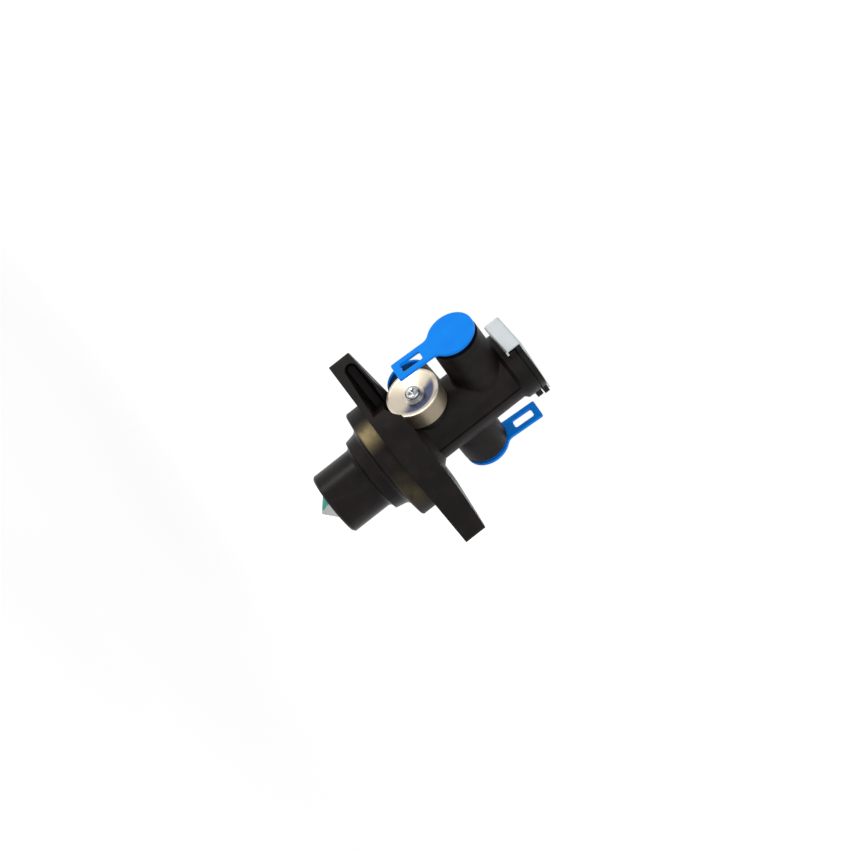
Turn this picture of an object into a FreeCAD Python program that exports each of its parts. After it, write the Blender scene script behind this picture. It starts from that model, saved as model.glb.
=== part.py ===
import FreeCAD, Part
import math
import os
from types import SimpleNamespace

import Sketcher
from FreeCAD import Placement, Rotation, Vector

# Gearbox lock valve: a flanged pneumatic valve whose plunger reaches into a gearbox.
# Frame: origin on the valve axis at the flange's mating face. +Z runs along the valve axis to
# the end cover, so the nose and the plunger point down. Port 1 and the vent face -Y, port 2
# faces +Y and port 3 faces -X. The flange's long axis lies at 45 degrees between them.
# "Height" is a distance along Z, and "reach" a distance out from the valve axis.

doc = FreeCAD.newDocument("GearboxLockValve")

# Driving dimensions, in millimetres and degrees
DIMENSIONS = [
    ("nose_radius", 17.2),
    ("nose_length", 41.0),
    ("nose_chamfer", 1.0),
    ("shoulder_radius", 20.6),
    ("shoulder_back_radius", 22.0),
    ("shoulder_depth", 17.0),
    ("shoulder_rise", 0.8),
    ("nose_root_fillet", 2.2),
    ("spigot_radius", 31.5),
    ("spigot_length", 8.6),
    ("spigot_rise", 1.4),
    ("spigot_root_fillet", 3.0),
    ("spigot_lead_in", 0.7),
    ("hub_radius", 35.0),
    ("flange_reach", 54.8),
    ("flange_angle", 45.0),
    ("tip_half_width", 11.0),
    ("tip_rounding", 2.5),
    ("tip_thickness", 12.0),
    ("hub_thickness", 14.8),
    ("hub_flat_radius", 30.0),
    ("bolt_circle", 88.0),
    ("bolt_hole_radius", 5.5),
    ("pocket_start", 20.0),
    ("pocket_end", 43.4),
    ("pocket_low", 6.3),
    ("pocket_high", 10.2),
    ("pocket_floor", 8.0),
    ("pocket_draft", 9.0),
    ("barrel_radius", 16.5),
    ("barrel_root", 3.0),
    ("parting_ridge", 0.45),
    ("parting_ridge_width", 1.2),
    ("body_height", 76.4),
    ("end_flange_radius", 18.3),
    ("end_flange_thickness", 7.0),
    ("lug_reach", 19.4),
    ("lug_half_width", 11.0),
    ("lug_thickness", 3.3),
    ("boss_radius", 12.5),
    ("boss_draft", 1.0),
    ("boss_fillet", 1.6),
    ("port_1_drop", 19.9),
    ("port_1_reach", 40.3),
    ("port_2_drop", 38.2),
    ("port_2_reach", 32.8),
    ("port_3_height", 27.2),
    ("port_3_reach", 32.6),
    ("port_mouth_radius", 8.6),
    ("port_mouth_depth", 6.0),
    ("thread_radius", 7.19),
    ("thread_length", 9.0),
    ("passage_radius", 3.5),
    ("mouth_chamfer", 0.8),
    ("vent_height", 24.7),
    ("vent_seat_reach", 17.4),
    ("vent_clearance_radius", 15.6),
    ("vent_hole_radius", 1.7),
    ("vent_hole_circle", 7.2),
    ("vent_hole_stop", 1.0),
    ("cage_bore_radius", 9.0),
    ("cage_floor", 12.0),
    ("partition_thickness", 6.0),
    ("cover_bore_radius", 12.0),
    ("cover_spigot_length", 11.9),
    ("nose_bore_radius", 10.8),
    ("ring_groove_depth", 0.8),
    ("ring_groove_inset", 1.1),
    ("ring_thickness", 1.2),
    ("plunger_radius", 8.5),
    ("plunger_tip_length", 7.2),
    ("plunger_tip_flat", 0.4),
    ("plunger_collar_radius", 10.5),
    ("plunger_collar_thickness", 4.0),
    ("plunger_stop_depth", 8.0),
    ("stem_radius", 6.0),
    ("stem_height", 16.0),
    ("running_clearance", 0.05),
    ("fit_clearance", 0.03),
    ("wiper_thickness", 2.4),
    ("seal_section", 3.0),
    ("vent_chamber", 5.2),
    ("supply_chamber", 15.7),
    ("spacer_inner_radius", 7.6),
    ("spacer_waist_radius", 8.4),
    ("spacer_rim", 1.2),
    ("spacer_hole_margin", 0.2),
    ("spool_foot", 2.7),
    ("spool_waist_radius", 4.2),
    ("spool_lap", 1.0),
    ("spool_drop", 7.5),
    ("spring_seat_radius", 6.9),
    ("spring_seat_thickness", 1.5),
    ("spring_mean_radius", 5.3),
    ("spring_wire_radius", 0.7),
    ("spring_turns", 6.0),
    ("spring_pilot_radius", 4.3),
    ("spring_pilot_length", 2.5),
    ("cover_thickness", 3.5),
    ("cover_lug_reach", 20.4),
    ("cover_undercut", 0.8),
    ("cover_undercut_depth", 1.2),
    ("cover_pocket_radius", 7.1),
    ("cover_roof", 3.0),
    ("cover_seal_section", 2.0),
    ("cover_seal_slack", 0.2),
    ("clip_sheet", 1.0),
    ("clip_width", 22.5),
    ("clip_tongue_width", 12.0),
    ("clip_gap", 0.2),
    ("clip_bend", 1.2),
    ("flap_radius", 11.0),
    ("flap_thickness", 1.5),
    ("sleeve_radius", 4.2),
    ("sleeve_length", 6.3),
    ("filter_radius", 11.8),
    ("filter_clearance", 0.6),
    ("vent_disc_radius", 14.1),
    ("vent_disc_sheet", 0.8),
    ("vent_disc_dish", 2.4),
    ("vent_disc_centre", 5.2),
    ("vent_disc_rim", 2.0),
    ("skirt_radius", 13.3),
    ("skirt_wall", 1.0),
    ("skirt_overlap", 0.7),
    ("skirt_clearance", 0.12),
    ("screw_radius", 2.0),
    ("screw_clearance", 0.15),
    ("screw_head_radius", 4.0),
    ("screw_head_height", 2.6),
    ("screw_grip", 4.5),
    ("screw_lead_in", 0.4),
    ("screw_hole_spare", 0.5),
    ("recess_length", 4.6),
    ("recess_width", 0.9),
    ("recess_depth", 1.3),
    ("washer_radius", 4.7),
    ("washer_thickness", 0.8),
    ("cap_radius", 12.3),
    ("cap_thickness", 1.6),
    ("cap_collar_radius", 10.0),
    ("cap_collar_height", 2.4),
    ("cap_shank_length", 5.4),
    ("cap_shank_clearance", 0.14),
    ("cap_shank_wall", 1.4),
    ("cap_lead_in", 0.5),
    ("cap_lead_length", 1.0),
    ("tab_reach", 32.4),
    ("tab_width", 11.4),
    ("tab_neck_radius", 5.0),
    ("tab_slot_centre", 23.0),
    ("tab_slot_length", 11.4),
    ("tab_slot_width", 5.8),
    ("tab_corner", 1.0),
    ("cap_1_turn", 3.2),
    ("cap_2_turn", 4.4),
]

sheet = doc.addObject("Spreadsheet::Sheet", "Sizes")
for row, (alias, value) in enumerate(DIMENSIONS, start=1):
    sheet.set(f"A{row}", alias.replace("_", " "))
    sheet.set(f"B{row}", str(value))
    sheet.setAlias(f"B{row}", alias)
doc.recompute()


class Dim:
    """A length or angle that carries its value and the formula that the document keeps for it."""

    def __init__(self, value, formula):
        self.value = value
        self.formula = formula

    def __add__(self, other):
        other = as_dim(other)
        return Dim(self.value + other.value, f"({self.formula} + {other.formula})")

    def __radd__(self, other):
        return as_dim(other) + self

    def __sub__(self, other):
        other = as_dim(other)
        return Dim(self.value - other.value, f"({self.formula} - {other.formula})")

    def __rsub__(self, other):
        return as_dim(other) - self

    def __mul__(self, other):
        other = as_dim(other)
        return Dim(self.value * other.value, f"({self.formula} * {other.formula})")

    def __rmul__(self, other):
        return as_dim(other) * self

    def __truediv__(self, other):
        other = as_dim(other)
        return Dim(self.value / other.value, f"({self.formula} / {other.formula})")

    def __neg__(self):
        return Dim(-self.value, f"(0 - {self.formula})")


def as_dim(number):
    return number if isinstance(number, Dim) else Dim(float(number), str(number))


d = SimpleNamespace(**{alias: Dim(value, f"Sizes.{alias}") for alias, value in DIMENSIONS})

BEYOND = 5.0          # how far a cutting tool runs past the surface that it opens
ROOT_TOLERANCE = 0.02  # how near an edge has to be to the place that it is looked for


def bind(thing, prop, size):
    thing.setExpression(prop, as_dim(size).formula)


def new_body(label):
    body = doc.addObject("PartDesign::Body", label)
    body.Label = label
    return body


def new_sketch(body, name, role, offset=0, turn=None):
    """A sketch on one of the body's origin planes, moved along its normal by offset."""
    sketch = body.newObject("Sketcher::SketchObject", f"{body.Name}_{name}")
    plane = [feature for feature in body.Origin.OriginFeatures if feature.Role == role][0]
    sketch.AttachmentSupport = [(plane, "")]
    sketch.MapMode = "FlatFace"
    if turn is not None:
        axis, angle = turn
        sketch.AttachmentOffset = Placement(Vector(0, 0, 0), Rotation(axis, angle.value))
        bind(sketch, "AttachmentOffset.Rotation.Angle", angle)
    bind(sketch, "AttachmentOffset.Base.z", offset)
    return sketch


def locate(sketch, geometry, end, x, y):
    """Ties a sketch point to its distances from the sketch's origin."""
    for kind, size, axis in (("DistanceX", as_dim(x), -2), ("DistanceY", as_dim(y), -1)):
        if size.formula == "0":
            sketch.addConstraint(Sketcher.Constraint("PointOnObject", geometry, end, axis))
        else:
            number = sketch.addConstraint(
                Sketcher.Constraint(kind, -1, 1, geometry, end, size.value))
            bind(sketch, f"Constraints[{number}]", size)


def flat(point):
    return Vector(as_dim(point[0]).value, as_dim(point[1]).value, 0)


def draw_outline(sketch, points):
    """A closed outline of straight lines through points."""
    first = sketch.GeometryCount
    count = len(points)
    for start, stop in zip(points, points[1:] + points[:1]):
        sketch.addGeometry(Part.LineSegment(flat(start), flat(stop)), False)
    for number in range(count):
        following = first + (number + 1) % count
        sketch.addConstraint(Sketcher.Constraint("Coincident", first + number, 2, following, 1))
    for number, (x, y) in enumerate(points):
        locate(sketch, first + number, 1, x, y)


def draw_circle(sketch, x, y, radius):
    number = sketch.addGeometry(Part.Circle(flat((x, y)), Vector(0, 0, 1), radius.value), False)
    locate(sketch, number, 3, x, y)
    constraint = sketch.addConstraint(Sketcher.Constraint("Radius", number, radius.value))
    bind(sketch, f"Constraints[{constraint}]", radius)


def rectangle(x_low, x_high, y_low, y_high):
    return [(x_low, y_low), (x_high, y_low), (x_high, y_high), (x_low, y_high)]


def revolve(body, name, points, feature="PartDesign::Revolution", angle=360.0):
    """Turns an outline in radius and height about the body's own Z axis."""
    sketch = new_sketch(body, f"{name}_profile", "XZ_Plane")
    draw_outline(sketch, points)
    turned = body.newObject(feature, f"{body.Name}_{name}")
    turned.Profile = sketch
    turned.ReferenceAxis = (sketch, ["V_Axis"])
    turned.Angle = angle
    finish_feature(body, turned, sketch)
    return turned


def extrude(body, name, sketch, length, feature="PartDesign::Pad", reverse=False, taper=None,
            middle=False):
    extruded = body.newObject(feature, f"{body.Name}_{name}")
    extruded.Profile = sketch
    extruded.Reversed = reverse
    if middle:
        extruded.SideType = "Symmetric"
    bind(extruded, "Length", length)
    if taper is not None:
        bind(extruded, "TaperAngle", taper)
    finish_feature(body, extruded, sketch)
    return extruded


def finish_feature(body, feature, sketch=None):
    """Recomputes the feature, and makes sure that it added or removed material."""
    previous = body.Tip if body.Tip != feature else None
    body.Tip = feature
    if sketch is not None:
        sketch.Visibility = False
    doc.recompute()
    if feature.Shape.isNull() or not feature.Shape.isValid():
        raise RuntimeError(f"{feature.Name} failed: {feature.State}")
    base = feature.BaseFeature if hasattr(feature, "BaseFeature") else previous
    if base is not None and abs(base.Shape.Volume - feature.Shape.Volume) < 1e-6:
        raise RuntimeError(f"{feature.Name} changed nothing")


def edges_where(feature, test):
    """The names of a feature's edges that pass a test."""
    return [f"Edge{number}" for number, edge in enumerate(feature.Shape.Edges, start=1) if test(edge)]


def is_circle(edge, radius, height):
    """A whole or part circle about the Z axis, with this radius and height."""
    curve = edge.Curve
    return (isinstance(curve, Part.Circle)
            and abs(curve.Radius - radius.value) < ROOT_TOLERANCE
            and abs(curve.Center.z - height.value) < ROOT_TOLERANCE
            and math.hypot(curve.Center.x, curve.Center.y) < ROOT_TOLERANCE)


def dress(body, name, test, size, feature="PartDesign::Fillet"):
    """Rounds or chamfers the edges of the body's tip that pass a test."""
    tip = body.Tip
    names = edges_where(tip, test)
    if not names:
        raise RuntimeError(f"{body.Name}_{name} found no edge")
    dressed = body.newObject(feature, f"{body.Name}_{name}")
    dressed.Base = (tip, names)
    bind(dressed, "Radius" if feature == "PartDesign::Fillet" else "Size", size)
    finish_feature(body, dressed)


OUT_OF_PORT = {
    "front": Rotation(Vector(1, 0, 0), 90),     # local Z turned to -Y
    "back": Rotation(Vector(1, 0, 0), -90),     # local Z turned to +Y
    "left": Rotation(Vector(0, 1, 0), -90),     # local Z turned to -X
}


# Heights and depths that several pieces share
partition_low = d.cage_floor - d.partition_thickness
stem_seal_top = d.cage_floor + d.seal_section
vent_chamber_top = stem_seal_top + d.vent_chamber
vent_seal_top = vent_chamber_top + d.seal_section
port_1_height = d.body_height - d.port_1_drop
port_2_height = d.body_height - d.port_2_drop
cover_seat_height = d.body_height - d.cover_spigot_length
delivery_top = cover_seat_height - d.supply_chamber - d.seal_section
spool_waist_top = delivery_top - d.spool_lap
spool_height = cover_seat_height - d.spool_drop
supply_seal_top = delivery_top + d.seal_section
ring_low = -d.nose_length + d.ring_groove_inset
ring_high = ring_low + d.ring_thickness
wiper_top = ring_high + d.wiper_thickness
plunger_stop = -d.plunger_stop_depth
lug_low = d.body_height - d.lug_thickness
skirt_low = d.vent_seat_reach - d.skirt_overlap
skirt_bore = d.skirt_radius - d.skirt_wall
pedestal_radius = skirt_bore - d.skirt_clearance
port_clear_depth = d.port_mouth_depth + d.thread_length
cover_top = d.body_height + d.cover_thickness
spring_low = spool_height + d.spring_seat_thickness
spring_high = cover_top - d.cover_roof
sleeve_top = d.vent_seat_reach + d.flap_thickness + d.sleeve_length
disc_rim_low = sleeve_top + d.vent_disc_dish
washer_low = sleeve_top + d.vent_disc_sheet
head_low = washer_low + d.washer_thickness


def build_housing():
    """The cast body: nose, shoulder, spigot, flange, barrel, port bosses and vent pedestal."""
    body = new_body("housing")

    end_flange_low = d.body_height - d.end_flange_thickness
    end_cone = d.end_flange_radius - d.barrel_radius
    revolve(body, "turned", [
        (0, -d.nose_length),
        (d.nose_radius - d.nose_chamfer, -d.nose_length),
        (d.nose_radius, -d.nose_length + d.nose_chamfer),
        (d.nose_radius, -d.shoulder_depth - d.shoulder_rise),
        (d.shoulder_radius, -d.shoulder_depth),
        (d.shoulder_back_radius, -d.spigot_length - d.spigot_rise),
        (d.spigot_radius - d.spigot_lead_in, -d.spigot_length),
        (d.spigot_radius, -d.spigot_length + d.spigot_lead_in),
        (d.spigot_radius, 0),
        (d.hub_flat_radius, d.hub_thickness),
        (d.barrel_radius + d.barrel_root, d.hub_thickness),
        (d.barrel_radius, d.hub_thickness + d.barrel_root),
        (d.barrel_radius, end_flange_low - end_cone),
        (d.end_flange_radius, end_flange_low),
        (d.end_flange_radius, d.body_height),
        (0, d.body_height),
    ])
    nose_root = -d.shoulder_depth - d.shoulder_rise
    spigot_root = -d.spigot_length - d.spigot_rise
    dress(body, "nose_root", lambda edge: is_circle(edge, d.nose_radius, nose_root),
          d.nose_root_fillet)
    dress(body, "spigot_root", lambda edge: is_circle(edge, d.shoulder_back_radius, spigot_root),
          d.spigot_root_fillet)

    flange = flange_outline(body)
    extrude(body, "flange", flange, d.hub_thickness)
    dress(body, "tip_rounding", is_tip_edge, d.tip_rounding)
    slope = (d.hub_thickness - d.tip_thickness) / (d.flange_reach - d.hub_flat_radius)
    past_tip = d.flange_reach + BEYOND
    revolve(body, "flange_back", [
        (d.hub_flat_radius, d.hub_thickness),
        (past_tip, d.hub_thickness - slope * (past_tip - d.hub_flat_radius)),
        (past_tip, d.hub_thickness + 1),
        (d.hub_flat_radius, d.hub_thickness + 1),
    ], "PartDesign::Groove")

    ridge = new_sketch(body, "ridge_outline", "XZ_Plane")
    ridge_reach = d.barrel_radius + d.parting_ridge
    draw_outline(ridge, rectangle(-ridge_reach, ridge_reach, d.hub_thickness / 2, end_flange_low))
    extrude(body, "parting_ridges", ridge, d.parting_ridge_width, middle=True)
    lugs = new_sketch(body, "lugs_outline", "XY_Plane", lug_low)
    draw_outline(lugs, rectangle(-d.lug_half_width, d.lug_half_width, -d.lug_reach, d.lug_reach))
    extrude(body, "lugs", lugs, d.lug_thickness)

    boss(body, "boss_1", "XZ_Plane", d.port_1_reach, port_1_height, inward=True)
    boss(body, "boss_2", "XZ_Plane", -d.port_2_reach, port_2_height, inward=False)
    boss(body, "boss_3", "YZ_Plane", -d.port_3_reach, d.port_3_height, inward=False)
    pedestal = new_sketch(body, "pedestal_outline", "XZ_Plane", d.vent_seat_reach)
    draw_circle(pedestal, 0, d.vent_height, pedestal_radius)
    extrude(body, "pedestal", pedestal, d.vent_seat_reach, reverse=True)
    dress(body, "boss_roots", is_boss_root, d.boss_fillet)

    room = new_sketch(body, "vent_room_outline", "XZ_Plane", d.vent_seat_reach)
    draw_circle(room, 0, d.vent_height, d.vent_clearance_radius)
    extrude(body, "vent_room", room, d.flange_reach, "PartDesign::Pocket", reverse=True)
    moat = new_sketch(body, "skirt_room_outline", "XZ_Plane", skirt_low - d.skirt_clearance)
    draw_circle(moat, 0, d.vent_height, d.vent_clearance_radius)
    draw_circle(moat, 0, d.vent_height, pedestal_radius)
    extrude(body, "skirt_room", moat, d.flange_reach, "PartDesign::Pocket", reverse=True)

    pocket = ear_pocket_outline(body)
    extrude(body, "ear_pocket", pocket, d.hub_radius, "PartDesign::Pocket", reverse=True,
            taper=d.pocket_draft)
    pocket_feature = body.Tip
    pair = body.newObject("PartDesign::PolarPattern", "housing_ear_pockets")
    pair.Originals = [pocket_feature]
    pair.Axis = (pocket_feature.Profile[0], ["V_Axis"])
    pair.Angle = 360
    pair.Occurrences = 2
    finish_feature(body, pair)

    bolts = new_sketch(body, "bolt_holes_outline", "XY_Plane", 0,
                       (Vector(0, 0, 1), d.flange_angle))
    draw_circle(bolts, d.bolt_circle / 2, 0, d.bolt_hole_radius)
    draw_circle(bolts, -d.bolt_circle / 2, 0, d.bolt_hole_radius)
    extrude(body, "bolt_holes", bolts, d.hub_thickness + BEYOND, "PartDesign::Pocket", reverse=True)

    past_nose = -d.nose_length - BEYOND
    past_end = d.body_height + BEYOND
    groove_radius = d.nose_bore_radius + d.ring_groove_depth
    stem_hole_radius = d.stem_radius + 3 * d.running_clearance
    revolve(body, "bores", [
        (0, past_end),
        (d.cover_bore_radius, past_end),
        (d.cover_bore_radius, cover_seat_height),
        (d.cage_bore_radius, cover_seat_height),
        (d.cage_bore_radius, d.cage_floor),
        (stem_hole_radius, d.cage_floor),
        (stem_hole_radius, partition_low),
        (d.nose_bore_radius, partition_low),
        (d.nose_bore_radius, ring_high),
        (groove_radius, ring_high),
        (groove_radius, ring_low),
        (d.nose_bore_radius, ring_low),
        (d.nose_bore_radius, past_nose),
        (0, past_nose),
    ], "PartDesign::Groove")

    port_bores(body, "port_1", "XZ_Plane", d.port_1_reach, port_1_height, inward=True)
    port_bores(body, "port_2", "XZ_Plane", -d.port_2_reach, port_2_height, inward=False)
    port_bores(body, "port_3", "YZ_Plane", -d.port_3_reach, d.port_3_height, inward=False)

    holes = new_sketch(body, "vent_holes_outline", "XZ_Plane", d.vent_seat_reach)
    for angle in (-32, 0, 32):
        swing = math.radians(angle)
        draw_circle(holes, d.vent_hole_circle * round(math.sin(swing), 4) if angle else 0,
                    d.vent_height - d.vent_hole_circle * round(math.cos(swing), 4),
                    d.vent_hole_radius)
    hole_depth = d.vent_seat_reach - d.stem_radius - d.vent_hole_stop
    extrude(body, "vent_holes", holes, hole_depth, "PartDesign::Pocket")
    screw_hole = new_sketch(body, "screw_hole_outline", "XZ_Plane", d.vent_seat_reach)
    draw_circle(screw_hole, 0, d.vent_height, d.screw_radius + d.running_clearance)
    extrude(body, "screw_hole", screw_hole, d.screw_grip + d.screw_hole_spare, "PartDesign::Pocket")
    dress(body, "mouths", is_port_mouth, d.mouth_chamfer, "PartDesign::Chamfer")


def flange_outline(body):
    """A round hub with straight sides that run off it, tangent, to two blunt ears."""
    sketch = new_sketch(body, "flange_outline", "XY_Plane", 0, (Vector(0, 0, 1), d.flange_angle))
    reach, half, hub = d.flange_reach, d.tip_half_width, d.hub_radius
    corner_angle = math.atan2(half.value, reach.value)
    corner_distance = math.hypot(half.value, reach.value)
    touch = corner_angle + math.acos(hub.value / corner_distance)
    touch_point = (hub.value * math.cos(touch), hub.value * math.sin(touch))
    corners = [(reach, half), (-reach, half), (-reach, -half), (reach, -half)]
    signs = [(1, 1), (-1, 1), (-1, -1), (1, -1)]
    touches = [(sx * touch_point[0], sy * touch_point[1]) for sx, sy in signs]
    plane_normal = Vector(0, 0, 1)
    circle = Part.Circle(Vector(0, 0, 0), plane_normal, hub.value)
    side = [sketch.addGeometry(Part.LineSegment(flat(corner), flat(point)), False)
            for corner, point in zip(corners, touches)]
    top = sketch.addGeometry(Part.ArcOfCircle(circle, touch, math.pi - touch), False)
    bottom = sketch.addGeometry(Part.ArcOfCircle(circle, math.pi + touch, 2 * math.pi - touch), False)
    left_tip = sketch.addGeometry(Part.LineSegment(flat(corners[1]), flat(corners[2])), False)
    right_tip = sketch.addGeometry(Part.LineSegment(flat(corners[3]), flat(corners[0])), False)
    for arc in (top, bottom):
        sketch.addConstraint(Sketcher.Constraint("Coincident", arc, 3, -1, 1))
        number = sketch.addConstraint(Sketcher.Constraint("Radius", arc, hub.value))
        bind(sketch, f"Constraints[{number}]", hub)
    for line, arc, end in ((side[0], top, 1), (side[1], top, 2), (side[2], bottom, 1),
                           (side[3], bottom, 2)):
        sketch.addConstraint(Sketcher.Constraint("Tangent", line, 2, arc, end))
    for line, tip, end in ((side[1], left_tip, 1), (side[2], left_tip, 2), (side[3], right_tip, 1),
                           (side[0], right_tip, 2)):
        sketch.addConstraint(Sketcher.Constraint("Coincident", line, 1, tip, end))
    for line, corner in zip(side, corners):
        locate(sketch, line, 1, *corner)
    return sketch


def is_tip_edge(edge):
    """An upright edge at the blunt end of an ear."""
    low, high = edge.BoundBox.ZMin, edge.BoundBox.ZMax
    centre = edge.CenterOfMass
    return (abs(high - low - d.hub_thickness.value) < ROOT_TOLERANCE
            and edge.BoundBox.XLength < ROOT_TOLERANCE
            and math.hypot(centre.x, centre.y) > d.flange_reach.value)


def ear_pocket_outline(body):
    """A round-ended slot in the side of an ear, which hollows it towards the vent."""
    sketch = new_sketch(body, "ear_pocket_outline", "XZ_Plane", d.pocket_floor,
                        (Vector(0, 1, 0), d.flange_angle))
    radius = (d.pocket_high - d.pocket_low) / 2
    middle = d.pocket_low + radius
    near, far = -d.pocket_start, -d.pocket_end + radius
    lower = sketch.addGeometry(
        Part.LineSegment(flat((far, d.pocket_low)), flat((near, d.pocket_low))), False)
    end = sketch.addGeometry(
        Part.LineSegment(flat((near, d.pocket_low)), flat((near, d.pocket_high))), False)
    upper = sketch.addGeometry(
        Part.LineSegment(flat((near, d.pocket_high)), flat((far, d.pocket_high))), False)
    round_end = Part.Circle(flat((far, middle)), Vector(0, 0, 1), radius.value)
    arc = sketch.addGeometry(Part.ArcOfCircle(round_end, math.pi / 2, 3 * math.pi / 2), False)
    sketch.addConstraint(Sketcher.Constraint("Coincident", lower, 2, end, 1))
    sketch.addConstraint(Sketcher.Constraint("Coincident", end, 2, upper, 1))
    sketch.addConstraint(Sketcher.Constraint("Tangent", upper, 2, arc, 1))
    sketch.addConstraint(Sketcher.Constraint("Tangent", lower, 1, arc, 2))
    sketch.addConstraint(Sketcher.Constraint("Horizontal", lower))
    sketch.addConstraint(Sketcher.Constraint("Horizontal", upper))
    locate(sketch, end, 1, near, d.pocket_low)
    locate(sketch, end, 2, near, d.pocket_high)
    number = sketch.addConstraint(Sketcher.Constraint("DistanceX", -1, 1, arc, 3, far.value))
    bind(sketch, f"Constraints[{number}]", far)
    return sketch


def boss(body, name, role, plane_at, height, inward):
    """A port boss, drawn at its outer end and drafted wider towards the valve axis."""
    sketch = new_sketch(body, f"{name}_outline", role, plane_at)
    draw_circle(sketch, 0, height, d.boss_radius)
    length = plane_at if plane_at.value > 0 else -plane_at
    extrude(body, name, sketch, length, reverse=inward, taper=d.boss_draft)


def port_bores(body, name, role, plane_at, height, inward):
    """A port's stepped mouth, its thread, and the passage from it to the cage bore."""
    length = plane_at if plane_at.value > 0 else -plane_at
    for part, radius, depth in (("mouth", d.port_mouth_radius, d.port_mouth_depth),
                                ("thread", d.thread_radius, port_clear_depth),
                                ("passage", d.passage_radius, length - d.stem_radius - 1)):
        sketch = new_sketch(body, f"{name}_{part}_outline", role, plane_at)
        draw_circle(sketch, 0, height, radius)
        extrude(body, f"{name}_{part}", sketch, depth, "PartDesign::Pocket", reverse=not inward)


def is_boss_root(edge):
    """Where boss 1 or boss 2 runs into the barrel: a saddle curve clear of the flange."""
    centre = edge.CenterOfMass
    in_line = abs(centre.x) < abs(centre.y)
    of_port = centre.y > 0 or centre.z > (d.vent_height + port_1_height).value / 2
    if isinstance(edge.Curve, (Part.Circle, Part.Line)) or not (in_line and of_port):
        return False
    box = edge.BoundBox
    points = [vertex.Point for vertex in edge.Vertexes] or [edge.valueAt(edge.FirstParameter)]
    middle = edge.valueAt((edge.FirstParameter + edge.LastParameter) / 2)
    on_barrel = all(abs(math.hypot(p.x, p.y) - d.barrel_radius.value) < 0.05
                    for p in points + [middle])
    high_enough = box.ZMin > d.hub_thickness.value + d.barrel_root.value + 1
    return on_barrel and high_enough


def is_port_mouth(edge):
    """The rim of a port's mouth, at the boss's outer end."""
    curve = edge.Curve
    if not isinstance(curve, Part.Circle):
        return False
    if abs(curve.Radius - d.port_mouth_radius.value) > ROOT_TOLERANCE:
        return False
    centre = curve.Center
    ends = ((centre.y, -d.port_1_reach.value), (centre.y, d.port_2_reach.value),
            (centre.x, -d.port_3_reach.value))
    return any(abs(place - end) < ROOT_TOLERANCE for place, end in ends)


def turned_piece(label, points, place=None, angle=360.0):
    """A piece turned about its own Z axis; place gives its axis in the valve's frame."""
    body = new_body(label)
    revolve(body, "turned", points, angle=angle)
    if place is not None:
        place(body)
    return body


def on_vent(body):
    body.Placement = Placement(Vector(0, 0, d.vent_height.value), OUT_OF_PORT["front"])
    bind(body, "Placement.Base.z", d.vent_height)


def ring(inner, outer, low, high):
    return [(inner, low), (outer, low), (outer, high), (inner, high)]


def o_ring(label, mean_radius, section_radius, height):
    seal = doc.addObject("Part::Torus", label)
    seal.Label = label
    bind(seal, "Radius1", mean_radius)
    bind(seal, "Radius2", section_radius)
    seal.Placement = Placement(Vector(0, 0, height.value), Rotation())
    bind(seal, "Placement.Base.z", height)


def build_plunger():
    turned_piece("plunger", [
        (0, -d.nose_length - d.plunger_tip_length),
        (d.plunger_tip_flat, -d.nose_length - d.plunger_tip_length),
        (d.plunger_radius, -d.nose_length),
        (d.plunger_radius, plunger_stop),
        (d.plunger_collar_radius, plunger_stop),
        (d.plunger_collar_radius, plunger_stop + d.plunger_collar_thickness),
        (d.stem_radius, plunger_stop + d.plunger_collar_thickness),
        (d.stem_radius, d.stem_height),
        (0, d.stem_height),
    ])


def build_nose_parts():
    bore = d.plunger_radius + d.running_clearance
    outer = d.nose_bore_radius - d.fit_clearance
    turned_piece("plunger_bush", ring(bore, outer, wiper_top, plunger_stop))
    lip = d.wiper_thickness / 3
    turned_piece("wiper_seal", [
        (bore, ring_high),
        (bore + 0.4, ring_high),
        (bore + 0.9, ring_high + lip),
        (outer, ring_high + lip),
        (outer, wiper_top),
        (bore, wiper_top),
    ])
    groove = d.nose_bore_radius + d.ring_groove_depth - d.fit_clearance
    turned_piece("nose_snap_ring", ring(bore + 1.1, groove, ring_low, ring_high), angle=325.0)


def spacer(label, low, high, hole_height):
    """A cage ring with a relieved waist and six radial holes."""
    body = new_body(label)
    outer = d.cage_bore_radius - d.fit_clearance
    revolve(body, "turned", [
        (d.spacer_inner_radius, low),
        (outer, low),
        (outer, low + d.spacer_rim),
        (d.spacer_waist_radius, low + d.spacer_rim),
        (d.spacer_waist_radius, high - d.spacer_rim),
        (outer, high - d.spacer_rim),
        (outer, high),
        (d.spacer_inner_radius, high),
    ])
    hole = new_sketch(body, "hole_outline", "XZ_Plane")
    radius = (d.vent_chamber - 2 * d.spacer_rim) / 2 - d.spacer_hole_margin
    draw_circle(hole, 0, hole_height, radius)
    extrude(body, "hole", hole, d.cage_bore_radius + BEYOND, "PartDesign::Pocket", reverse=True)
    first_hole = body.Tip
    holes = body.newObject("PartDesign::PolarPattern", f"{label}_holes")
    holes.Originals = [first_hole]
    holes.Axis = (first_hole.Profile[0], ["V_Axis"])
    holes.Angle = 360
    holes.Occurrences = 6
    finish_feature(body, holes)


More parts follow.
